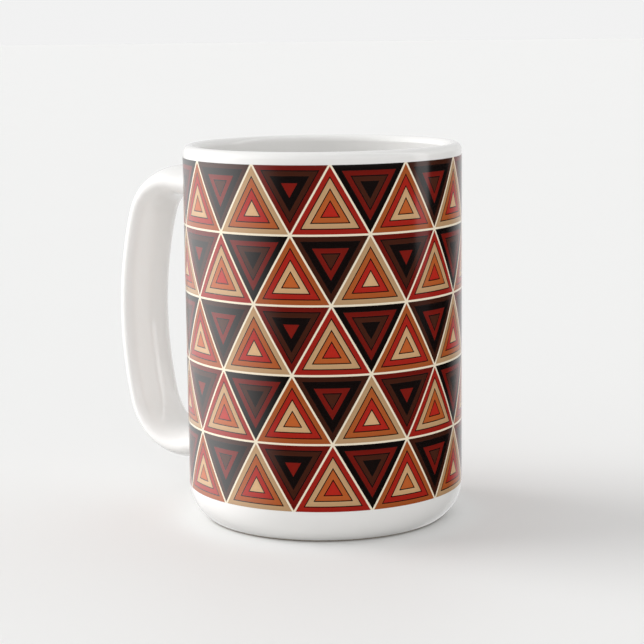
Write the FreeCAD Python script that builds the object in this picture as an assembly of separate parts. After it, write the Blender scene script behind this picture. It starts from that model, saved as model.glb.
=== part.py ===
import FreeCAD, Part
import math
import os

# A straight-sided 15-ounce glazed stoneware mug with a luted loop handle and a printed wrap.
# Millimetres, +Z up. The origin is on the cup's axis, on the table plane under the foot ring.
# The handle stands out along -X, so the middle of the print faces +X.

# ---- Driving dimensions: cup ----
coated_diameter = 85.0        # over the printed coat, the widest part of the cup
overall_height = 115.0        # table to the crest of the rim
clay_wall = 3.6               # fired clay between the inner and the outer glaze
clay_floor = 5.7              # fired clay between the cavity's floor and the foot recess
base_corner_radius = 12.1     # outside corner between wall and foot, over the glaze
cavity_corner_radius = 9.0    # inside corner between wall and floor, over the glaze
foot_setback = 5.4            # from the glazed wall in to the outside of the foot ring
foot_ring_width = 4.0         # radial width of the foot ring
foot_edge_radius = 0.6        # sponged edges of the foot ring
foot_glaze_line = 0.7         # bare clay shows below this height
recess_depth = 2.5            # table to the glazed underside of the floor
recess_corner_radius = 1.4    # between the recess and the inside of the foot ring

# ---- Driving dimensions: coats ----
glaze_thickness = 0.3         # fired glaze, the same inside, outside and on the handle
coat_thickness = 0.1          # polyester coat that carries the print
print_rim_gap = 3.6           # rim crest to the upper edge of the print
print_handle_gap = 6.5        # bare white wall between the print and each side of the handle

# ---- Driving dimensions: handle ----
handle_standout = 40.8        # from the coated wall to the outside of the glazed grip
handle_width = 20.0           # across the grip, over the glaze
handle_thickness = 9.6        # from finger side to outside, over the glaze
handle_rim_gap = 10.0         # rim crest to the top of the upper arm at the wall
handle_base_gap = 2.0         # top of the base corner to the underside of the lower arm
upper_arm_rise = 4.0          # degrees above level, going out from the wall
lower_arm_drop = 12.0         # degrees below level, going out from the wall
upper_bend_radius = 16.0      # on the centreline
lower_bend_radius = 18.0      # on the centreline
grip_bow_radius = 110.0       # long curve of the grip, on the centreline
grip_bow_share = 0.47         # height of the outermost point, from lower arm to upper arm
slip_thickness = 0.6          # layer of slip between each handle end and the wall

# ---- Derived sizes ----
coat_radius = coated_diameter / 2
glazed_radius = coat_radius - coat_thickness
clay_radius = glazed_radius - glaze_thickness
glazed_wall = clay_wall + 2 * glaze_thickness
lip_radius = glazed_wall / 2
lip_centre_radius = glazed_radius - lip_radius
lip_centre_height = overall_height - lip_radius
cavity_radius = glazed_radius - glazed_wall

foot_radius = glazed_radius - foot_setback
foot_inner_radius = foot_radius - foot_ring_width
recess_clay_height = recess_depth + glaze_thickness
floor_clay_height = recess_clay_height + clay_floor
floor_height = floor_clay_height + glaze_thickness

# The clay's base corner runs through the glaze line on the outside of the foot ring.
corner_centre_radius = glazed_radius - base_corner_radius
clay_corner_radius = base_corner_radius - glaze_thickness
corner_start_offset = foot_radius - corner_centre_radius
corner_rise = math.sqrt(clay_corner_radius ** 2 - corner_start_offset ** 2)
corner_centre_height = foot_glaze_line + corner_rise
corner_start_angle = -math.acos(corner_start_offset / clay_corner_radius)

print_bottom = corner_centre_height
print_top = overall_height - print_rim_gap
print_gap_angle = math.asin((handle_width / 2 + print_handle_gap) / coat_radius)

upper_arm_height = overall_height - handle_rim_gap - handle_thickness / 2
lower_arm_height = corner_centre_height + handle_base_gap + handle_thickness / 2
grip_reach = coat_radius + handle_standout - handle_thickness / 2
bow_height = lower_arm_height + grip_bow_share * (upper_arm_height - lower_arm_height)
bow_centre = (grip_reach - grip_bow_radius, bow_height)
arm_root_radius = cavity_radius + glaze_thickness + clay_wall / 3

QUARTER = math.pi / 2
UP = FreeCAD.Vector(0, 0, 1)
ORIGIN = FreeCAD.Vector(0, 0, 0)


def at(radius, height):
    """A point of the half section, on the +X side of the axis."""
    return FreeCAD.Vector(radius, 0, height)


def polar(centre, radius, angle):
    """The (radius, height) point at an angle on a circle of the half section."""
    return (centre[0] + radius * math.cos(angle), centre[1] + radius * math.sin(angle))


def line(start, end):
    return Part.makeLine(at(*start), at(*end))


def arc(centre, radius, start_angle, end_angle):
    """A circular arc of the half section, between two angles in radians."""
    middle = (start_angle + end_angle) / 2
    points = [at(*polar(centre, radius, angle)) for angle in (start_angle, middle, end_angle)]
    return Part.Arc(*points).toShape()


def revolved(edges, turn=360):
    """The solid that a closed outline of the half section sweeps about the cup's axis."""
    face = Part.Face(Part.Wire(Part.__sortEdges__(edges)))
    return face.revolve(ORIGIN, UP, turn)


def drum(radius):
    """A solid cylinder on the cup's axis, taller than the mug at both ends."""
    return Part.makeCylinder(radius, 3 * overall_height, FreeCAD.Vector(0, 0, -overall_height))


def outside_outline(depth):
    """The cup's outside from the glaze line up to the rim crest, `depth` under the glaze."""
    corner = (corner_centre_radius, corner_centre_height)
    lip = (lip_centre_radius, lip_centre_height)
    wall = glazed_radius - depth
    return [
        arc(corner, base_corner_radius - depth, corner_start_angle, 0),
        line((wall, corner_centre_height), (wall, lip_centre_height)),
        arc(lip, lip_radius - depth, 0, QUARTER),
    ]


def cavity_outline(depth):
    """The cavity from the rim crest down to the middle of its floor, `depth` under the glaze."""
    lip = (lip_centre_radius, lip_centre_height)
    wall = cavity_radius + depth
    floor = floor_height - depth
    corner_radius = cavity_corner_radius + depth
    corner = (cavity_radius - cavity_corner_radius, floor_height + cavity_corner_radius)
    return [
        arc(lip, lip_radius - depth, QUARTER, 2 * QUARTER),
        line((wall, lip_centre_height), (wall, corner[1])),
        arc(corner, corner_radius, 0, -QUARTER),
        line((corner[0], floor), (0, floor)),
    ]


def recess_outline(depth):
    """The foot recess from its middle to the glaze line inside the ring, `depth` under the glaze."""
    ring = foot_inner_radius - glaze_thickness + depth
    ceiling = recess_depth + depth
    corner_radius = recess_corner_radius - glaze_thickness + depth
    corner = (ring - corner_radius, ceiling - corner_radius)
    return [
        line((0, ceiling), (corner[0], ceiling)),
        arc(corner, corner_radius, QUARTER, 0),
        line((ring, corner[1]), (ring, foot_glaze_line)),
    ]


def foot_outline():
    """The bare clay foot ring below the glaze lines, with sponged edges."""
    inner = foot_inner_radius
    edge = foot_edge_radius
    inner_edge = (inner + edge, edge)
    outer_edge = (foot_radius - edge, edge)
    return [
        line((inner, foot_glaze_line), (inner, edge)),
        arc(inner_edge, edge, 2 * QUARTER, 3 * QUARTER),
        line((inner + edge, 0), (foot_radius - edge, 0)),
        arc(outer_edge, edge, -QUARTER, 0),
        line((foot_radius, edge), (foot_radius, foot_glaze_line)),
    ]


def make_cup_body():
    axis = line((0, floor_clay_height), (0, recess_clay_height))
    outline = recess_outline(glaze_thickness) + foot_outline()
    outline += outside_outline(glaze_thickness) + cavity_outline(glaze_thickness) + [axis]
    return revolved(outline)


def make_cavity_glaze():
    crest = line((lip_centre_radius, overall_height - glaze_thickness),
                 (lip_centre_radius, overall_height))
    axis = line((0, floor_clay_height), (0, floor_height))
    return revolved(cavity_outline(0) + cavity_outline(glaze_thickness) + [crest, axis])


def make_outer_glaze(handle_space):
    """The glaze outside the cup, left open where the glazed handle meets the clay."""
    corner = (corner_centre_radius, corner_centre_height)
    lower_edge = line(polar(corner, clay_corner_radius, corner_start_angle),
                      polar(corner, base_corner_radius, corner_start_angle))
    crest = line((lip_centre_radius, overall_height - glaze_thickness),
                 (lip_centre_radius, overall_height))
    edges = outside_outline(0) + outside_outline(glaze_thickness) + [lower_edge, crest]
    return revolved(edges).cut(handle_space)


def make_recess_glaze():
    axis = line((0, recess_depth), (0, recess_clay_height))
    lower_edge = line((foot_inner_radius - glaze_thickness, foot_glaze_line),
                      (foot_inner_radius, foot_glaze_line))
    edges = recess_outline(0) + recess_outline(glaze_thickness) + [axis, lower_edge]
    return revolved(edges)


def make_printed_coat():
    """The thin coat around the straight wall, stopping short of the handle on both sides."""
    corners = [(glazed_radius, print_bottom), (coat_radius, print_bottom),
               (coat_radius, print_top), (glazed_radius, print_top)]
    edges = [line(corners[i - 1], corners[i]) for i in range(4)]
    turn = 360 - 2 * math.degrees(print_gap_angle)
    coat = revolved(edges, turn)
    coat.rotate(ORIGIN, UP, -turn / 2)
    return coat


def bend_centre(arm_height, arm_angle, bend_radius, side):
    """Centre of the bend that joins an arm to the bowed grip, both tangent to it.

    `side` is -1 when the bend lies under its arm and +1 when it lies over it.
    """
    out = (math.cos(arm_angle), math.sin(arm_angle))
    start = (-side * bend_radius * out[1], arm_height + side * bend_radius * out[0])
    start = (start[0] + clay_radius, start[1])
    offset = (start[0] - bow_centre[0], start[1] - bow_centre[1])
    along = offset[0] * out[0] + offset[1] * out[1]
    reach = grip_bow_radius - bend_radius
    distance = -along + math.sqrt(along ** 2 - offset[0] ** 2 - offset[1] ** 2 + reach ** 2)
    return (start[0] + distance * out[0], start[1] + distance * out[1])


def handle_centreline():
    """Upper arm, upper bend, bowed grip, lower bend and lower arm, in the half section."""
    upper_angle = math.radians(upper_arm_rise)
    lower_angle = -math.radians(lower_arm_drop)
    upper = bend_centre(upper_arm_height, upper_angle, upper_bend_radius, -1)
    lower = bend_centre(lower_arm_height, lower_angle, lower_bend_radius, 1)
    upper_join = math.atan2(upper[1] - bow_centre[1], upper[0] - bow_centre[0])
    lower_join = math.atan2(lower[1] - bow_centre[1], lower[0] - bow_centre[0])
    upper_start = polar(upper, upper_bend_radius, QUARTER + upper_angle)
    lower_end = polar(lower, lower_bend_radius, -QUARTER + lower_angle)
    upper_drop = (clay_radius - arm_root_radius) * math.tan(upper_angle)
    lower_drop = (clay_radius - arm_root_radius) * math.tan(lower_angle)
    return [
        line((arm_root_radius, upper_arm_height - upper_drop), upper_start),
        arc(upper, upper_bend_radius, QUARTER + upper_angle, upper_join),
        arc(bow_centre, grip_bow_radius, upper_join, lower_join),
        arc(lower, lower_bend_radius, lower_join, -QUARTER + lower_angle),
        line(lower_end, (arm_root_radius, lower_arm_height - lower_drop)),
    ]


def handle_loop(depth):
    """The oval bar bent along the handle's centreline, `depth` under its glaze."""
    spine = Part.Wire(handle_centreline())
    first = spine.Edges[0]
    start = first.valueAt(first.FirstParameter)
    tangent = first.tangentAt(first.FirstParameter)
    half_width = handle_width / 2 - depth
    half_thickness = handle_thickness / 2 - depth
    section = Part.Ellipse(ORIGIN, half_width, half_thickness).toShape()
    axes = FreeCAD.Rotation(FreeCAD.Vector(0, 1, 0), FreeCAD.Vector(), tangent, "ZXY")
    section.Placement = FreeCAD.Placement(start, axes)
    loop = spine.makePipeShell([Part.Wire(section)], True, False)
    loop.rotate(ORIGIN, UP, 180)
    return loop


def make_handle(clay_loop):
    return clay_loop.cut(drum(clay_radius + slip_thickness))


def make_handle_glaze(glazed_loop, clay_loop):
    return glazed_loop.cut(clay_loop).cut(drum(clay_radius))


def make_slip_joints(clay_loop):
    """The two slip layers between wall and handle, the upper one first."""
    layer = drum(clay_radius + slip_thickness).cut(drum(clay_radius))
    pads = clay_loop.common(layer).Solids
    return sorted(pads, key=lambda pad: -pad.BoundBox.Center.z)


def save(node, shape):
    shape.exportStep(os.path.join("parts", node + ".step"))


def main():
    os.makedirs("parts", exist_ok=True)
    glazed_loop = handle_loop(0)
    clay_loop = handle_loop(glaze_thickness)
    upper_joint, lower_joint = make_slip_joints(clay_loop)
    save("cup_body", make_cup_body())
    save("handle", make_handle(clay_loop))
    save("upper_slip_joint", upper_joint)
    save("lower_slip_joint", lower_joint)
    save("cavity_glaze", make_cavity_glaze())
    save("outer_glaze", make_outer_glaze(glazed_loop))
    save("handle_glaze", make_handle_glaze(glazed_loop, clay_loop))
    save("recess_glaze", make_recess_glaze())
    save("printed_coat", make_printed_coat())


main()
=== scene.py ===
import logging
import math
from dataclasses import dataclass, field
from enum import Enum
from typing import Any, Iterable, Sequence

import bmesh
import bpy
import numpy as np
from mathutils import Matrix, Vector


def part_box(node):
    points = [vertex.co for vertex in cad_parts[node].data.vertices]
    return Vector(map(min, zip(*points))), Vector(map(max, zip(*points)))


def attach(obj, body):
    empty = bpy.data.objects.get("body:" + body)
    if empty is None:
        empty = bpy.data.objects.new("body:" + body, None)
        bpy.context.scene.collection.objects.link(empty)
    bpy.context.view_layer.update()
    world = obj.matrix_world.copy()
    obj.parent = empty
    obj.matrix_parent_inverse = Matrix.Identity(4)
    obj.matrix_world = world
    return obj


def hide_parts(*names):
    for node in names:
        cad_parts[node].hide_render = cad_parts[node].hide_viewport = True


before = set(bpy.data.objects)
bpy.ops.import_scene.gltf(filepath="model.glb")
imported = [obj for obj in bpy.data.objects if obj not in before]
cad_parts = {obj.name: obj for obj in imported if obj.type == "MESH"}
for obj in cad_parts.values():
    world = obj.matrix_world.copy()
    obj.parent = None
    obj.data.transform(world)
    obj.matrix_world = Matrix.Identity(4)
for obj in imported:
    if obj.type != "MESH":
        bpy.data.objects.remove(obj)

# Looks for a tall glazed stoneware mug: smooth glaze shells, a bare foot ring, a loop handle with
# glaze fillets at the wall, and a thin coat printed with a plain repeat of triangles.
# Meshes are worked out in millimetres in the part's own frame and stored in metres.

LOG = logging.getLogger("mug")
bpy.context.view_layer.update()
MM = 0.001
BODY = "root"
QUARTER = math.pi / 2
MERGE_M = 1e-7


# ---------------------------------------------------------------- small tools


def linear(hex_colour: str, dim: float = 1.0) -> tuple[float, float, float, float]:
    """Turns an sRGB hex colour into the linear colour that shaders work in.

    Args:
        hex_colour: six hex digits, such as "EAD9B0".
        dim: share of the light to keep.

    Returns:
        Linear red, green and blue, and an opacity of one.
    """
    channels = [int(hex_colour[i:i + 2], 16) / 255 for i in (0, 2, 4)]
    low = [c / 12.92 for c in channels]
    high = [((c + 0.055) / 1.055) ** 2.4 for c in channels]
    red, green, blue = [a if c <= 0.04045 else b for c, a, b in zip(channels, low, high)]
    return red * dim, green * dim, blue * dim, 1.0


def mesh_piece(name: str, grid: np.ndarray, wrap_rows: bool, wrap_columns: bool,
               crease_deg: float = 40.0) -> bpy.types.Object:
    """Makes a closed, smooth-shaded piece from a grid of points.

    Neighbouring rows and columns are joined by quads. Points that fall together at a pole or a
    seam are merged, so the skin is closed, and its faces are turned outwards.

    Args:
        name: the piece's name.
        grid: points in millimetres, shaped (rows, columns, 3).
        wrap_rows: joins the last row to the first.
        wrap_columns: joins the last column to the first.
        crease_deg: edges sharper than this stay crisp.

    Returns:
        The new object, at the origin, with its place in its mesh.
    """
    rows, columns = grid.shape[:2]
    index = np.arange(rows * columns).reshape(rows, columns)
    if wrap_rows:
        index = np.vstack([index, index[:1]])
    if wrap_columns:
        index = np.hstack([index, index[:, :1]])
    corners = (index[:-1, :-1], index[:-1, 1:], index[1:, 1:], index[1:, :-1])
    quads = np.stack([c.ravel() for c in corners], axis=1)
    mesh = bpy.data.meshes.new(name)
    mesh.from_pydata((grid.reshape(-1, 3) * MM).tolist(), [], quads.tolist())
    work = bmesh.new()
    work.from_mesh(mesh)
    bmesh.ops.remove_doubles(work, verts=work.verts, dist=MERGE_M)
    bmesh.ops.recalc_face_normals(work, faces=work.faces)
    work.to_mesh(mesh)
    work.free()
    mesh.polygons.foreach_set("use_smooth", np.ones(len(mesh.polygons), dtype=bool))
    mesh.set_sharp_from_angle(angle=math.radians(crease_deg))
    piece = bpy.data.objects.new(name, mesh)
    bpy.context.scene.collection.objects.link(piece)
    return piece


def hand_over(piece: bpy.types.Object, material: bpy.types.Material,
              nodes: Sequence[str]) -> None:
    """Dresses a finished piece and says which body and CAD nodes it stands for.

    Args:
        piece: the finished piece.
        material: what it is made of.
        nodes: the CAD nodes that it replaces.
    """
    piece.data.materials.append(material)
    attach(piece, BODY)
    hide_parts(*nodes)
    LOG.info("%s: %d faces, stands for %s", piece.name, len(piece.data.polygons), ", ".join(nodes))


def bend(centre: tuple[float, float], radius: float, start: float, end: float,
         count: int) -> np.ndarray:
    """Points on a circular arc, closer together at both ends so that seams shade smoothly.

    The point at share t lies at angle start + (end - start) * (1 - cos(pi t)) / 2.

    Args:
        centre: the arc's centre, as (radius, height) in the half section.
        radius: the arc's radius.
        start: the first angle in radians.
        end: the last angle in radians.
        count: how many points.

    Returns:
        Points shaped (count, 2).
    """
    share = (1 - np.cos(np.pi * np.linspace(0, 1, count))) / 2
    angle = start + (end - start) * share
    return np.stack([centre[0] + radius * np.cos(angle), centre[1] + radius * np.sin(angle)], axis=1)


def run(start: tuple[float, float], end: tuple[float, float], count: int = 2) -> np.ndarray:
    """Evenly spaced points on a straight run of the half section, shaped (count, 2)."""
    return np.linspace(np.array(start, dtype=float), np.array(end, dtype=float), count)


def turned(name: str, outline: np.ndarray, steps: int, closed: bool = True) -> bpy.types.Object:
    """Turns a half section about the cup's axis: (r, h) becomes (r cos a, r sin a, h).

    Args:
        name: the piece's name.
        outline: points of the half section, shaped (n, 2).
        steps: facets round the axis.
        closed: the outline's last point joins its first, or else both ends are on the axis.

    Returns:
        The turned piece.
    """
    angle = np.linspace(0, 2 * np.pi, steps, endpoint=False)
    radius = outline[:, :1]
    height = np.repeat(outline[:, 1:], steps, axis=1)
    grid = np.stack([radius * np.cos(angle), radius * np.sin(angle), height], axis=2)
    return mesh_piece(name, grid, wrap_rows=closed, wrap_columns=True)


# ---------------------------------------------------------------- shader graph


class Value:
    """A number in a shader. Arithmetic on it adds Math nodes through Graph.add."""

    def __init__(self, graph: "Graph", socket: bpy.types.NodeSocket) -> None:
        """Holds the graph and the socket that the number comes out of."""
        self.graph = graph
        self.socket = socket

    def math(self, operation: str, *others: Any) -> "Value":
        """Applies one Math operation to this number and the others, in their order."""
        return self.graph.add("ShaderNodeMath", self, *others, operation=operation)

    def __add__(self, other: Any) -> "Value":
        """Sum."""
        return self.math("ADD", other)

    def __sub__(self, other: Any) -> "Value":
        """Difference."""
        return self.math("SUBTRACT", other)

    def __mul__(self, other: Any) -> "Value":
        """Product."""
        return self.math("MULTIPLY", other)

    def __truediv__(self, other: Any) -> "Value":
        """Quotient."""
        return self.math("DIVIDE", other)

    def __gt__(self, other: Any) -> "Value":
        """One where this is the greater, else nought."""
        return self.math("GREATER_THAN", other)

    def __lt__(self, other: Any) -> "Value":
        """One where this is the less, else nought."""
        return self.math("LESS_THAN", other)

    def __invert__(self) -> "Value":
        """One minus this, which turns a mask inside out."""
        return self.math("MULTIPLY_ADD", -1.0, 1.0)


class Graph:
    """The node tree of one material or of the room."""

    def __init__(self, owner: bpy.types.Material | bpy.types.World) -> None:
        """Starts an empty node tree on its owner."""
        self.owner = owner
        owner.use_nodes = True
        self.tree = owner.node_tree
        self.tree.nodes.clear()

    def add(self, kind: str, *inputs: Any, named: dict[str | int, Any] | None = None,
            output: str | int = 0, **settings: Any) -> Value:
        """Adds a node, makes its settings and fills its inputs.

        Args:
            kind: the node's type.
            *inputs: what goes into the first inputs, in order: a Value is linked, a number or
                colour is set, and None is left alone.
            named: the same, by input name or number.
            output: the output to hand back.
            **settings: properties of the node.

        Returns:
            The chosen output, ready for arithmetic or for another node.
        """
        node = self.tree.nodes.new(kind)
        for key, setting in settings.items():
            setattr(node, key, setting)
        for key, source in [*enumerate(inputs), *(named or {}).items()]:
            if isinstance(source, Value):
                self.tree.links.new(source.socket, node.inputs[key])
            elif source is not None:
                node.inputs[key].default_value = source
        return Value(self, node.outputs[output]) if node.outputs else Value(self, None)

    def ramp(self, place: Value, stops: Iterable[tuple[float, str]],
             interpolation: str = "LINEAR") -> Value:
        """Colours a number by stops of (place, hex colour) from low to high.

        Args:
            place: the number to colour, from 0 to 1.
            stops: places and sRGB hex colours.
            interpolation: how colours blend between stops.

        Returns:
            The colour output.
        """
        colour = self.add("ShaderNodeValToRGB", place)
        node = colour.socket.node
        band = node.color_ramp
        band.interpolation = interpolation
        stops = list(stops)
        for element, (at, shade) in zip(band.elements, stops):
            element.position = at
            element.color = linear(shade)
        for at, shade in stops[len(band.elements):]:
            band.elements.new(at).color = linear(shade)
        return colour

    def mix(self, mask: Value | float, under: Any, over: Any, blend: str = "MIX") -> Value:
        """Lays one colour over another where the mask is one."""
        # The node's colours are its inputs 6 and 7, and its colour output is 2.
        return self.add("ShaderNodeMix", named={0: mask, 6: under, 7: over}, output=2,
                        data_type="RGBA", blend_type=blend)

    def between(self, mask: Value, under: Any, over: Any) -> Value:
        """Takes one number where the mask is nought and the other where it is one."""
        # The node's numbers are its inputs 2 and 3.
        return self.add("ShaderNodeMix", named={0: mask, 2: under, 3: over})


# ---------------------------------------------------------------- finishes


@dataclass(frozen=True)
class WhiteGlaze:
    """Clear-white glossy stoneware glaze, fired on.

    Firing melts it to a glass, so it is smooth with a faint ripple and mirrors large lights.
    """

    colour: str = "EFEEEC"
    roughness: float = 0.06
    ior: float = 1.52
    ripple_mm: float = 9.0
    ripple_height_mm: float = 0.02
    ripple_strength: float = 0.35
    cloud_mm: float = 36.0
    cloud_dim: float = 0.97

    def make(self) -> bpy.types.Material:
        """Builds the material: a glossy white coat with a faint ripple and hardly seen clouding."""
        graph = Graph(bpy.data.materials.new("white_glaze"))
        place = graph.add("ShaderNodeTexCoord", output="Object")
        ripple = graph.add("ShaderNodeTexNoise", place,
                           named={"Scale": 1 / (self.ripple_mm * MM), "Detail": 2.0})
        bump = graph.add("ShaderNodeBump", named={
            "Height": ripple, "Strength": self.ripple_strength,
            "Distance": self.ripple_height_mm * MM})
        cloud = graph.add("ShaderNodeTexNoise", place,
                          named={"Scale": 1 / (self.cloud_mm * MM), "Detail": 3.0})
        colour = graph.mix(cloud, linear(self.colour, self.cloud_dim), linear(self.colour))
        gloss = graph.add("ShaderNodeBsdfPrincipled", named={
            "Base Color": colour, "Roughness": self.roughness, "IOR": self.ior, "Normal": bump})
        graph.add("ShaderNodeOutputMaterial", gloss)
        return graph.owner


@dataclass(frozen=True)
class BareStoneware:
    """Fired stoneware left bare of glaze and sponged: matt, slightly warm, with fine grit."""

    colour: str = "A3978A"
    grit_colour: str = "74695C"
    speck_colour: str = "B4A99C"
    roughness: float = 0.82
    grit_mm: float = 0.5
    grit_strength: float = 0.6
    grit_depth: float = 0.1

    def make(self) -> bpy.types.Material:
        """Builds the material: grit as dark grains, pale specks and bump."""
        graph = Graph(bpy.data.materials.new("bare_stoneware"))
        place = graph.add("ShaderNodeTexCoord", output="Object")
        grit = graph.add("ShaderNodeTexNoise", place,
                         named={"Scale": 1 / (self.grit_mm * MM), "Detail": 4.0, "Roughness": 0.6})
        colour = graph.ramp(grit, [(0.30, self.grit_colour), (0.48, self.colour),
                                   (1.0, self.speck_colour)])
        bump = graph.add("ShaderNodeBump", named={
            "Height": grit, "Strength": self.grit_strength,
            "Distance": self.grit_depth * self.grit_mm * MM})
        clay = graph.add("ShaderNodeBsdfPrincipled", named={
            "Base Color": colour, "Roughness": self.roughness, "Normal": bump})
        graph.add("ShaderNodeOutputMaterial", clay)
        return graph.owner


class Ink(Enum):
    """The print's inks."""

    SOOT = "17100F"
    UMBER = "4A2418"
    BRICK = "7E1A12"
    SCARLET = "B8281C"
    RUST = "C0622E"
    SAND = "D8AE80"
    CREAM = "F0E4CC"


@dataclass(frozen=True)
class PrintedCoat:
    """Dye-sublimated polyester over glaze: saturated colour inside a clear glossy coat.

    The print is a plain repeat of equilateral triangles, a whole number of rows to its height
    and of sides to its length, each filled with bands along its own sides. The outermost lines
    fall just outside the print, so its edges are ink. A spot is placed by three counts of rows,
    one square to each side, which sum to nought. What each has left over from a whole number
    sums to one inside an upright triangle and to two inside a hanging one.
    """

    wall_radius_mm: float
    turn: float
    low_mm: float
    high_mm: float
    rows: int = 5
    bands: int = 4
    line_mm: float = 0.3
    between_sums: float = 1.5
    edge_glow: str = "D2D2D2"
    roughness: float = 0.13
    ior: float = 1.5

    def make(self) -> bpy.types.Material:
        """Builds the material: the repeat's colour under a smooth clear gloss."""
        graph = Graph(bpy.data.materials.new("printed_polyester"))
        gloss = graph.add("ShaderNodeBsdfPrincipled", named={
            "Base Color": self._colour(graph, self._row_counts(graph)),
            "Roughness": self.roughness, "IOR": self.ior})
        graph.add("ShaderNodeOutputMaterial", gloss)
        return graph.owner

    @property
    def row_mm(self) -> float:
        """Height of one row of triangles."""
        return (self.high_mm - self.low_mm + 2 * self.line_mm) / self.rows

    def _row_counts(self, graph: Graph) -> list[Value]:
        """Counts rows square to each of the three sides.

        Args:
            graph: the material's graph.

        Returns:
            The three counts: upwards, and along the wrap to either side.
        """
        side = self.row_mm * 2 / math.sqrt(3)
        sides_along = round(self.turn * self.wall_radius_mm / side)
        wrap = graph.add("ShaderNodeUVMap", uv_map="wrap")
        rows_shown = (self.high_mm - self.low_mm) / self.row_mm
        place = graph.add("ShaderNodeMapping", wrap, named={
            "Location": (0, self.line_mm / self.row_mm, 0),
            "Scale": (sides_along, rows_shown, 1)})
        along = graph.add("ShaderNodeSeparateXYZ", place, output="X")
        up = Value(graph, along.socket.node.outputs["Y"])
        return [up, along - up * 0.5, along * -1.0 - up * 0.5]

    def _colour(self, graph: Graph, counts: list[Value]) -> Value:
        """Fills each triangle with bands of three inks, lined off from one another.

        Args:
            graph: the material's graph.
            counts: the three row counts.

        Returns:
            The print's colour.
        """
        over = [count.math("FRACT") for count in counts]
        upright = over[0] + over[1] + over[2] < self.between_sums
        least = over[0].math("MINIMUM", over[1]).math("MINIMUM", over[2])
        most = over[0].math("MAXIMUM", over[1]).math("MAXIMUM", over[2])
        # The middle of a triangle is a third of a row from each side.
        inward = (least * upright + ~most * ~upright) * 3.0
        band = inward * self.bands
        family = counts[0].math("FLOOR") - counts[1].math("FLOOR")
        turn_of_three = (family + band.math("FLOOR")).math("FLOORED_MODULO", 3.0)
        pick = (turn_of_three + 0.5) / 3.0
        fill = graph.mix(upright, self._three_inks(graph, pick, Ink.SOOT, Ink.BRICK, Ink.UMBER),
                         self._three_inks(graph, pick, Ink.SCARLET, Ink.SAND, Ink.RUST))
        glow = graph.ramp(inward, [(0.0, self.edge_glow), (1.0, "FFFFFF")])
        fill = graph.mix(1.0, fill, glow, blend="MULTIPLY")
        band_mm = self.row_mm / 3 / self.bands
        line = band.math("FRACT") < self.line_mm / band_mm
        line_colour = graph.mix(band < 1.0, linear(Ink.SOOT.value), linear(Ink.CREAM.value))
        return graph.mix(line, fill, line_colour)

    def _three_inks(self, graph: Graph, pick: Value, *inks: Ink) -> Value:
        """Picks one of three inks by which third of nought to one the number is in."""
        return graph.ramp(pick, [(third / 3, ink.value) for third, ink in enumerate(inks)],
                          interpolation="CONSTANT")


@dataclass(frozen=True)
class PaleFloor:
    """Plain pale matt card under and behind the mug."""

    colour: str = "F0F0EF"
    mottle_m: float = 1 / 6
    mottle_dim: float = 0.99
    roughness: float = 0.6

    def make(self) -> bpy.types.Material:
        """Builds the material: matt, with a faint mottling."""
        graph = Graph(bpy.data.materials.new("pale_floor"))
        place = graph.add("ShaderNodeTexCoord", output="Object")
        mottle = graph.add("ShaderNodeTexNoise", place,
                           named={"Scale": 1 / self.mottle_m, "Detail": 3.0})
        colour = graph.mix(mottle, linear(self.colour, self.mottle_dim), linear(self.colour))
        card = graph.add("ShaderNodeBsdfPrincipled",
                         named={"Base Color": colour, "Roughness": self.roughness})
        graph.add("ShaderNodeOutputMaterial", card)
        return graph.owner


# ---------------------------------------------------------------- cup


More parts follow.
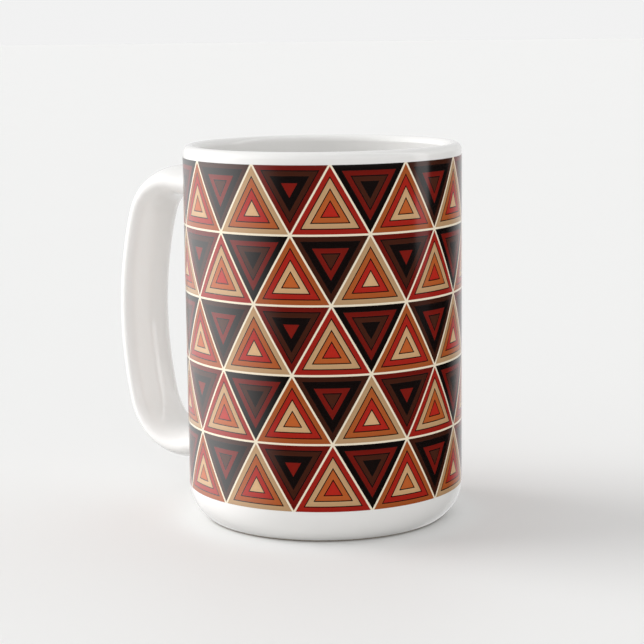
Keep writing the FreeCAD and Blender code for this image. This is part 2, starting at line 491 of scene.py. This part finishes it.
@dataclass
class Cup:
    """The thrown cup: fired clay under one glaze, bare only at the foot ring.

    Radii and heights are in millimetres. The outside, the rim and the table plane come from the
    frame's own boxes, and the rest are the cup's wall, corner and foot sizes.
    """

    wall: float = 4.2
    glaze: float = 0.3
    floor: float = 8.8
    base_corner: float = 12.1
    cavity_corner: float = 9.0
    foot_setback: float = 5.4
    foot_width: float = 4.0
    foot_edge: float = 0.6
    glaze_line: float = 0.7
    recess: float = 2.5
    recess_corner: float = 1.4
    steps: int = 256
    arc_points: int = 26
    wall_points: int = 24
    flat_points: int = 8
    foot_points: int = 8
    recess_points: int = 10
    radius: float = field(init=False)
    height: float = field(init=False)
    lip: float = field(init=False)
    lip_centre: tuple[float, float] = field(init=False)
    foot_radius: float = field(init=False)
    corner: tuple[float, float] = field(init=False)
    corner_start: float = field(init=False)

    def __post_init__(self) -> None:
        """Takes the cup's outer size from the frame, and works out its corner and lip."""
        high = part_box("outer_glaze")[1]
        self.radius = high.x / MM
        self.height = high.z / MM
        self.lip = self.wall / 2
        self.lip_centre = (self.radius - self.lip, self.height - self.lip)
        self.foot_radius = self.radius - self.foot_setback
        corner_radius = self.radius - self.base_corner
        clay_corner = self.base_corner - self.glaze
        offset = self.foot_radius - corner_radius
        corner_height = self.glaze_line + math.sqrt(clay_corner ** 2 - offset ** 2)
        self.corner = (corner_radius, corner_height)
        self.corner_start = -math.acos(offset / clay_corner)

    def outside(self, depth: float) -> np.ndarray:
        """The outside from the glaze line up to the rim crest, `depth` under the glaze."""
        wall = self.radius - depth
        return np.vstack([
            bend(self.corner, self.base_corner - depth, self.corner_start, 0, self.arc_points),
            run((wall, self.corner[1]), (wall, self.lip_centre[1]), self.wall_points)[1:-1],
            bend(self.lip_centre, self.lip - depth, 0, QUARTER, self.arc_points),
        ])

    def cavity(self, depth: float) -> np.ndarray:
        """The cavity from the rim crest down to the middle of its floor, `depth` under the glaze."""
        wall = self.radius - self.wall + depth
        inner = self.radius - self.wall - self.cavity_corner
        corner = (inner, self.floor + self.cavity_corner)
        return np.vstack([
            bend(self.lip_centre, self.lip - depth, QUARTER, 2 * QUARTER, self.arc_points),
            run((wall, self.lip_centre[1]), (wall, corner[1]), self.wall_points)[1:-1],
            bend(corner, self.cavity_corner + depth, 0, -QUARTER, self.arc_points),
            run((inner, self.floor - depth), (0, self.floor - depth), self.flat_points)[1:],
        ])

    def under(self, depth: float) -> np.ndarray:
        """The foot recess from its middle to the glaze line inside the ring."""
        ring = self.foot_radius - self.foot_width - self.glaze + depth
        ceiling = self.recess + depth
        corner_radius = self.recess_corner - self.glaze + depth
        corner = (ring - corner_radius, ceiling - corner_radius)
        return np.vstack([
            run((0, ceiling), (corner[0], ceiling), self.flat_points)[:-1],
            bend(corner, corner_radius, QUARTER, 0, self.recess_points),
            run((ring, corner[1]), (ring, self.glaze_line))[1:],
        ])

    def foot(self) -> np.ndarray:
        """The bare foot ring below the glaze lines, with sponged edges."""
        inner = self.foot_radius - self.foot_width
        edge = self.foot_edge
        return np.vstack([
            run((inner, self.glaze_line), (inner, edge), 3)[:-1],
            bend((inner + edge, edge), edge, 2 * QUARTER, 3 * QUARTER, self.foot_points),
            bend((self.foot_radius - edge, edge), edge, -QUARTER, 0, self.foot_points),
            run((self.foot_radius, edge), (self.foot_radius, self.glaze_line), 3)[1:],
        ])

    def build(self, glaze: bpy.types.Material, clay: bpy.types.Material) -> None:
        """Builds the clay and the three glazed areas of the cup.

        Args:
            glaze: the white glaze.
            clay: the bare stoneware.
        """
        depth = self.glaze
        clay_outline = [self.under(depth), self.foot(), self.outside(depth)[1:],
                        self.cavity(depth)[1:]]
        pieces = (
            ("fired_cup", np.vstack(clay_outline), clay, "fired_clay", "cup_body"),
            ("outside_glaze", np.vstack([self.outside(0), self.outside(depth)[::-1]]),
             glaze, "white_glaze", "outer_glaze"),
            ("inside_glaze", np.vstack([self.cavity(0), self.cavity(depth)[::-1]]),
             glaze, "white_glaze", "cavity_glaze"),
            ("underside_glaze", np.vstack([self.under(0), self.under(depth)[::-1]]),
             glaze, "white_glaze", "recess_glaze"),
        )
        for name, outline, material, slot, node in pieces:
            hand_over(turned(name, outline, self.steps), material, [node])


# ---------------------------------------------------------------- handle


@dataclass
class Handle:
    """A bent oval bar stuck on at both ends, with glaze pooled in a fillet at the wall.

    The centreline lies in the XZ plane and is held as (distance from the axis, height), in
    millimetres. It is an upper arm, a bend, a bowed grip, a bend and a lower arm.
    """

    cup: Cup
    rise_deg: float = 4.0
    drop_deg: float = 12.0
    rim_gap: float = 10.0
    lower_gap: float = 2.0
    upper_bend: float = 16.0
    lower_bend: float = 18.0
    bow: float = 110.0
    bow_share: float = 0.47
    thickness: float = 9.6
    fillet: float = 2.6
    around: int = 72
    bend_points: int = 28
    bow_points: int = 44
    fillet_points: int = 14
    half_width: float = field(init=False)
    reach: float = field(init=False)
    upper_height: float = field(init=False)
    lower_height: float = field(init=False)
    bow_centre: tuple[float, float] = field(init=False)
    root: float = field(init=False)

    def __post_init__(self) -> None:
        """Takes the handle's width and reach from the frame."""
        low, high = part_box("handle_glaze")
        self.half_width = high.y / MM
        self.reach = -low.x / MM - self.thickness / 2
        self.upper_height = self.cup.height - self.rim_gap - self.thickness / 2
        self.lower_height = self.cup.corner[1] + self.lower_gap + self.thickness / 2
        bow_height = self.lower_height + self.bow_share * (self.upper_height - self.lower_height)
        self.bow_centre = (self.reach - self.bow, bow_height)
        self.root = self.cup.radius - self.cup.glaze

    def _bend_centre(self, height: float, angle: float, radius: float,
                     side: int) -> tuple[float, float]:
        """Centre of the bend that touches both an arm and the bowed grip.

        It lies at the bend's radius to one side of the arm, and at the bow's radius less the
        bend's from the bow's centre.

        Args:
            height: where the arm meets the wall.
            angle: the arm's angle above level.
            radius: the bend's radius.
            side: -1 under the arm, +1 over it.

        Returns:
            The centre in the half section.
        """
        out = np.array([math.cos(angle), math.sin(angle)])
        start = np.array([self.root, height]) + side * radius * np.array([-out[1], out[0]])
        offset = start - np.array(self.bow_centre)
        along = float(offset @ out)
        distance = -along + math.sqrt(along ** 2 - float(offset @ offset) + (self.bow - radius) ** 2)
        centre = start + distance * out
        return float(centre[0]), float(centre[1])

    def _spine(self) -> tuple[np.ndarray, np.ndarray]:
        """The centreline between the two arms' fillets.

        Returns:
            Points shaped (n, 2), and at each the unit normal that points out of the loop.
        """
        rise = math.radians(self.rise_deg)
        drop = -math.radians(self.drop_deg)
        upper = self._bend_centre(self.upper_height, rise, self.upper_bend, -1)
        lower = self._bend_centre(self.lower_height, drop, self.lower_bend, 1)
        joins = [math.atan2(c[1] - self.bow_centre[1], c[0] - self.bow_centre[0])
                 for c in (upper, lower)]
        arcs = (
            (upper, self.upper_bend, QUARTER + rise, joins[0], self.bend_points),
            (self.bow_centre, self.bow, joins[0], joins[1], self.bow_points),
            (lower, self.lower_bend, joins[1], -QUARTER + drop, self.bend_points),
        )
        points, normals = [], []
        for centre, radius, start, end, count in arcs:
            angle = np.linspace(start, end, count)
            normal = np.stack([np.cos(angle), np.sin(angle)], axis=1)
            points.append(np.array(centre) + radius * normal)
            normals.append(normal)
        return (np.vstack([points[0], points[1][1:], points[2][1:]]),
                np.vstack([normals[0], normals[1][1:], normals[2][1:]]))

    def _section(self, depth: float) -> tuple[np.ndarray, np.ndarray, np.ndarray, np.ndarray]:
        """The oval section: across = b cos u, sideways = a sin u, and its outward normals.

        Args:
            depth: how far under the glaze.

        Returns:
            Offsets across and sideways, and the normal's two components.
        """
        turn = np.linspace(0, 2 * np.pi, self.around, endpoint=False)
        half_thickness = self.thickness / 2 - depth
        half_width = self.half_width - depth
        across = half_thickness * np.cos(turn)
        sideways = half_width * np.sin(turn)
        normal = np.stack([np.cos(turn) / half_thickness, np.sin(turn) / half_width])
        normal /= np.linalg.norm(normal, axis=0)
        return across, sideways, normal[0], normal[1]

    def _arm_rows(self, depth: float, upper: bool) -> np.ndarray:
        """Rows of points from the wall out along one arm.

        Each row keeps one distance from the curved wall. Over the glaze the rows follow a
        quarter circle from the wall's surface to the arm's; under it they go straight to the clay.

        Args:
            depth: how far under the glaze.
            upper: the upper arm, or else the lower one.

        Returns:
            Points shaped (rows, around, 3).
        """
        angle = math.radians(self.rise_deg if upper else -self.drop_deg)
        height = self.upper_height if upper else self.lower_height
        turn_out = 1 if upper else -1
        along = np.array([math.cos(angle), math.sin(angle)])
        normal = turn_out * np.array([-along[1], along[0]])
        across, sideways, normal_across, normal_sideways = self._section(depth)
        if depth:
            spread = np.zeros(2)
            stand = np.array([-self.cup.glaze, self.fillet])
        else:
            sweep = np.linspace(0, QUARTER, self.fillet_points)
            spread = np.append(self.fillet, self.fillet * (1 - np.sin(sweep)))
            stand = np.append(-self.cup.glaze / 2, self.fillet * (1 - np.cos(sweep)))
        spread = spread[:, None]
        stand = stand[:, None]
        out = across + spread * normal_across
        side = sideways + spread * normal_sideways
        reach = np.sqrt((self.cup.radius + stand) ** 2 - side ** 2)
        travel = (reach - self.root - out * normal[0]) / along[0]
        level = height + travel * along[1] + out * normal[1]
        return np.stack([-reach, np.broadcast_to(side, reach.shape), level], axis=2)

    def _skin(self, depth: float) -> np.ndarray:
        """The whole bar's skin from the upper root to the lower one, `depth` under the glaze."""
        points, normals = self._spine()
        across, sideways, _, _ = self._section(depth)
        reach = points[:, :1] + normals[:, :1] * across
        level = points[:, 1:] + normals[:, 1:] * across
        side = np.broadcast_to(sideways, reach.shape)
        bar = np.stack([-reach, side, level], axis=2)
        return np.concatenate([self._arm_rows(depth, True), bar, self._arm_rows(depth, False)[::-1]])

    def build(self, glaze: bpy.types.Material) -> None:
        """Builds the glaze round the handle as one sleeve, outer skin and inner skin joined.

        Args:
            glaze: the white glaze.
        """
        sleeve = np.concatenate([self._skin(0), self._skin(self.cup.glaze)[::-1]])
        piece = mesh_piece("handle_glaze_sleeve", sleeve, wrap_rows=True, wrap_columns=True)
        hand_over(piece, glaze, ["handle_glaze"])


# ---------------------------------------------------------------- printed wrap


@dataclass
class Wrap:
    """The printed coat: a thin sheet round the wall, open at the handle."""

    cup: Cup
    edge: float = 0.05
    steps: int = 300
    levels: int = 60
    edge_points: int = 5
    radius: float = field(init=False)
    low: float = field(init=False)
    high: float = field(init=False)
    half_turn: float = field(init=False)

    def __post_init__(self) -> None:
        """Takes the coat's place from the frame."""
        low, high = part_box("printed_coat")
        self.radius = high.x / MM
        self.low = low.z / MM
        self.high = high.z / MM
        self.half_turn = math.acos(low.x / MM / self.radius)

    def build(self, printed: bpy.types.Material) -> None:
        """Builds the coat and gives it its wrap coordinates.

        The cross section is a thin upright strip with rounded corners, carried round the wall
        and closed to its middle line at both ends.

        Args:
            printed: the printed finish.
        """
        inner = self.cup.radius
        outer = self.radius - self.edge
        heights = np.linspace(self.low + self.edge, self.high - self.edge, self.levels)
        face = np.stack([np.full(self.levels, self.radius), heights], axis=1)
        back = np.stack([np.full(self.levels, inner), heights[::-1]], axis=1)
        outline = np.vstack([
            bend((outer, self.low + self.edge), self.edge, -QUARTER, 0, self.edge_points)[:-1],
            face,
            bend((outer, self.high - self.edge), self.edge, 0, QUARTER, self.edge_points)[1:],
            [(inner, self.high)], back, [(inner, self.low)]])
        angle = np.linspace(-self.half_turn, self.half_turn, self.steps)
        radius = np.repeat(outline[:, :1], self.steps, axis=1)
        radius[:, [0, -1]] = (inner + self.radius) / 2
        height = np.repeat(outline[:, 1:], self.steps, axis=1)
        grid = np.stack([radius * np.cos(angle), radius * np.sin(angle), height], axis=2)
        piece = mesh_piece("printed_wrap", grid, wrap_rows=True, wrap_columns=False)
        self._lay_out(piece.data)
        hand_over(piece, printed, ["printed_coat"])

    def _lay_out(self, mesh: bpy.types.Mesh) -> None:
        """Writes the wrap coordinates: share of the turn, and share of the height."""
        place = np.empty(len(mesh.vertices) * 3, dtype=np.float32)
        mesh.vertices.foreach_get("co", place)
        x, y, z = place.reshape(-1, 3).T / MM
        along = np.arctan2(y, x) / (2 * self.half_turn) + 0.5
        up = (z - self.low) / (self.high - self.low)
        corner = np.empty(len(mesh.loops), dtype=np.int32)
        mesh.loops.foreach_get("vertex_index", corner)
        layout = np.stack([along[corner], up[corner]], axis=1)
        mesh.uv_layers.new(name="wrap").data.foreach_set("uv", layout.astype(np.float32).ravel())


# ---------------------------------------------------------------- studio


@dataclass
class Studio:
    """A pale floor in a pale room, a large soft light to the left and a camera above the rim."""

    azimuth_deg: float = 40.0
    distance: float = 0.5755
    height: float = 0.1525
    pitch: float = 0.1599
    yaw: float = -0.0011
    roll: float = -0.0116
    lens_mm: float = 105.37
    sensor_mm: float = 36.0
    nearest: float = 0.01
    floor_radius: float = 12.0
    floor_rings: int = 24
    floor_spokes: int = 96
    key: float = 1.75
    key_bearing_deg: float = 102.0
    key_elevation_deg: float = 28.0
    key_spread_deg: float = 42.0
    fill_level: float = 1.1
    fill_above: float = 0.58
    backdrop: float = 0.885
    room: float = 0.8
    room_from_to: tuple[float, float] = (0.0, 0.12)
    behind_from_to: tuple[float, float] = (0.5, 0.94)
    window: float = 2.9
    window_bearing_deg: float = 97.0
    window_edge: float = 0.4
    window_falloff: float = 1.83
    strip: float = 1.5
    strip_bearing_deg: float = -88.6
    strip_from_to: tuple[float, float] = (0.16, 0.09)
    strip_foot_from_to: tuple[float, float] = (-0.13, -0.10)

    def _directions(self) -> tuple[np.ndarray, np.ndarray]:
        """The level directions to the right of the view and away along it."""
        turn = math.radians(self.azimuth_deg)
        right = np.array([math.cos(turn), math.sin(turn), 0.0])
        away = np.array([-math.sin(turn), math.cos(turn), 0.0])
        return right, away

    def place_camera(self) -> None:
        """Sets up the camera: pitched down, with a slight yaw and roll."""
        right, away = self._directions()
        up = np.array([0.0, 0.0, 1.0])
        ahead = (math.sin(self.yaw) * right + math.cos(self.yaw) * away) * math.cos(self.pitch)
        ahead = ahead - math.sin(self.pitch) * up
        side = math.cos(self.yaw) * right - math.sin(self.yaw) * away
        top = np.cross(side, ahead)
        turned_side = math.cos(self.roll) * side + math.sin(self.roll) * top
        turned_top = -math.sin(self.roll) * side + math.cos(self.roll) * top
        camera = bpy.data.cameras.new("camera")
        camera.lens = self.lens_mm
        camera.sensor_width = self.sensor_mm
        camera.clip_start = self.nearest
        viewer = bpy.data.objects.new("camera", camera)
        place = Matrix.Identity(4)
        columns = (turned_side, turned_top, -ahead, -self.distance * away + self.height * up)
        for column, values in enumerate(columns):
            for row in range(3):
                place[row][column] = float(values[row])
        viewer.matrix_world = place
        bpy.context.scene.collection.objects.link(viewer)
        bpy.context.scene.camera = viewer

    def _bearing(self, bearing_deg: float, elevation_deg: float) -> np.ndarray:
        """A unit direction from the mug.

        Args:
            bearing_deg: counted leftwards from the camera's own bearing.
            elevation_deg: above level.

        Returns:
            The direction.
        """
        right, away = self._directions()
        bearing = math.radians(bearing_deg)
        elevation = math.radians(elevation_deg)
        level = -math.cos(bearing) * away - math.sin(bearing) * right
        return math.cos(elevation) * level + math.sin(elevation) * np.array([0.0, 0.0, 1.0])

    def lay_floor(self, card: bpy.types.Material) -> None:
        """A wide level floor: rings of points at rising radii about the axis."""
        angle = np.linspace(0, 2 * np.pi, self.floor_spokes, endpoint=False)
        radius = (np.linspace(0, 1, self.floor_rings) ** 2 * self.floor_radius / MM)[:, None]
        level = np.zeros((self.floor_rings, self.floor_spokes))
        grid = np.stack([radius * np.cos(angle), radius * np.sin(angle), level], axis=2)
        floor = mesh_piece("floor", grid, wrap_rows=False, wrap_columns=True)
        floor.data.materials.append(card)
        floor.visible_glossy = False

    def shine_key(self) -> None:
        """The key light, wide and soft, from the left."""
        lamp = bpy.data.lights.new("key", "SUN")
        lamp.energy = self.key
        lamp.angle = math.radians(self.key_spread_deg)
        holder = bpy.data.objects.new("key", lamp)
        toward = Vector(self._bearing(self.key_bearing_deg, self.key_elevation_deg))
        holder.rotation_euler = toward.to_track_quat("Z", "Y").to_euler()
        holder.visible_glossy = False
        bpy.context.scene.collection.objects.link(holder)

    def _heading(self, ray: Value, direction: Sequence[float]) -> Value:
        """How nearly a ray heads in a direction, as the cosine of the angle between them."""
        return ray.graph.add("ShaderNodeVectorMath", ray, tuple(map(float, direction)),
                             output="Value", operation="DOT_PRODUCT")

    def _fade(self, cosine: Value, from_to: tuple[float, float]) -> Value:
        """A light's soft edge: nought to one as the cosine goes from one value to the other."""
        return cosine.graph.add("ShaderNodeMapRange", cosine, *from_to, 0.0, 1.0,
                                interpolation_type="SMOOTHSTEP")

    def _mirrored(self, ray: Value, rise: Value) -> Value:
        """What a glossy skin mirrors.

        That is a pale room above the table, a round window to the left and a narrow upright
        light to the right. The window's brightness is its share of the way from edge to middle,
        counted in cosines, raised to a power.

        Args:
            ray: the ray's direction.
            rise: its upward part.

        Returns:
            The brightness mirrored.
        """
        behind = self._fade(self._heading(ray, self._bearing(180.0, 0.0)), self.behind_from_to)
        room = self._fade(rise, self.room_from_to).math("MAXIMUM", behind) * self.room
        inward = self._heading(ray, self._bearing(self.window_bearing_deg, 0.0))
        window = ray.graph.add("ShaderNodeMapRange", inward, self.window_edge, 1.0, 0.0, 1.0)
        window = window.math("POWER", self.window_falloff) * self.window
        square_to_strip = self._bearing(self.strip_bearing_deg + 90.0, 0.0)
        across = self._heading(ray, square_to_strip).math("ABSOLUTE")
        strip = self._fade(across, self.strip_from_to) * self._fade(rise, self.strip_foot_from_to)
        this_side = self._heading(ray, self._bearing(self.strip_bearing_deg, 0.0)) > 0.0
        return room + window + strip * this_side * self.strip

    def fill_room(self) -> None:
        """The room's light: seen as a pale backdrop, mirrored by gloss, and brighter level."""
        graph = Graph(bpy.data.worlds.new("room"))
        ray = graph.add("ShaderNodeTexCoord", output="Generated")
        rise = self._heading(ray, (0, 0, 1))
        glossy = graph.add("ShaderNodeLightPath", output="Is Glossy Ray")
        seen = Value(graph, glossy.socket.node.outputs["Is Camera Ray"])
        fill = rise.math("MAXIMUM", 0.0) * (self.fill_above - self.fill_level) + self.fill_level
        strength = graph.between(glossy, fill, self._mirrored(ray, rise))
        strength = graph.between(seen, strength, self.backdrop)
        air = graph.add("ShaderNodeBackground", linear("FFFFFF"), strength)
        graph.add("ShaderNodeOutputWorld", air)
        bpy.context.scene.world = graph.owner

    def build(self) -> None:
        """Sets out the floor, lights, room and camera."""
        self.lay_floor(PaleFloor().make())
        self.shine_key()
        self.fill_room()
        self.place_camera()
        bpy.context.scene.view_settings.view_transform = "Standard"


# ---------------------------------------------------------------- assembly


def dress_cad_nodes(clay: bpy.types.Material) -> None:
    """Gives the clay parts that stay under the glaze their fired clay finish.

    Args:
        clay: the bare stoneware.
    """
    for name in ("handle", "upper_slip_joint", "lower_slip_joint"):
        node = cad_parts[name]
        node.data.materials.clear()
        node.data.materials.append(clay)
        LOG.info("%s keeps its CAD shape", name)


def main() -> None:
    """Builds the cup, handle, printed wrap and studio, and reports each piece."""
    logging.basicConfig(level=logging.INFO, format="%(name)s: %(message)s")
    glaze = WhiteGlaze().make()
    clay = BareStoneware().make()
    cup = Cup()
    cup.build(glaze, clay)
    Handle(cup).build(glaze)
    wrap = Wrap(cup)
    coat = PrintedCoat(wall_radius_mm=wrap.radius, turn=2 * wrap.half_turn,
                       low_mm=wrap.low, high_mm=wrap.high)
    wrap.build(coat.make())
    dress_cad_nodes(clay)
    Studio().build()


if __name__ == "__main__":
    main()
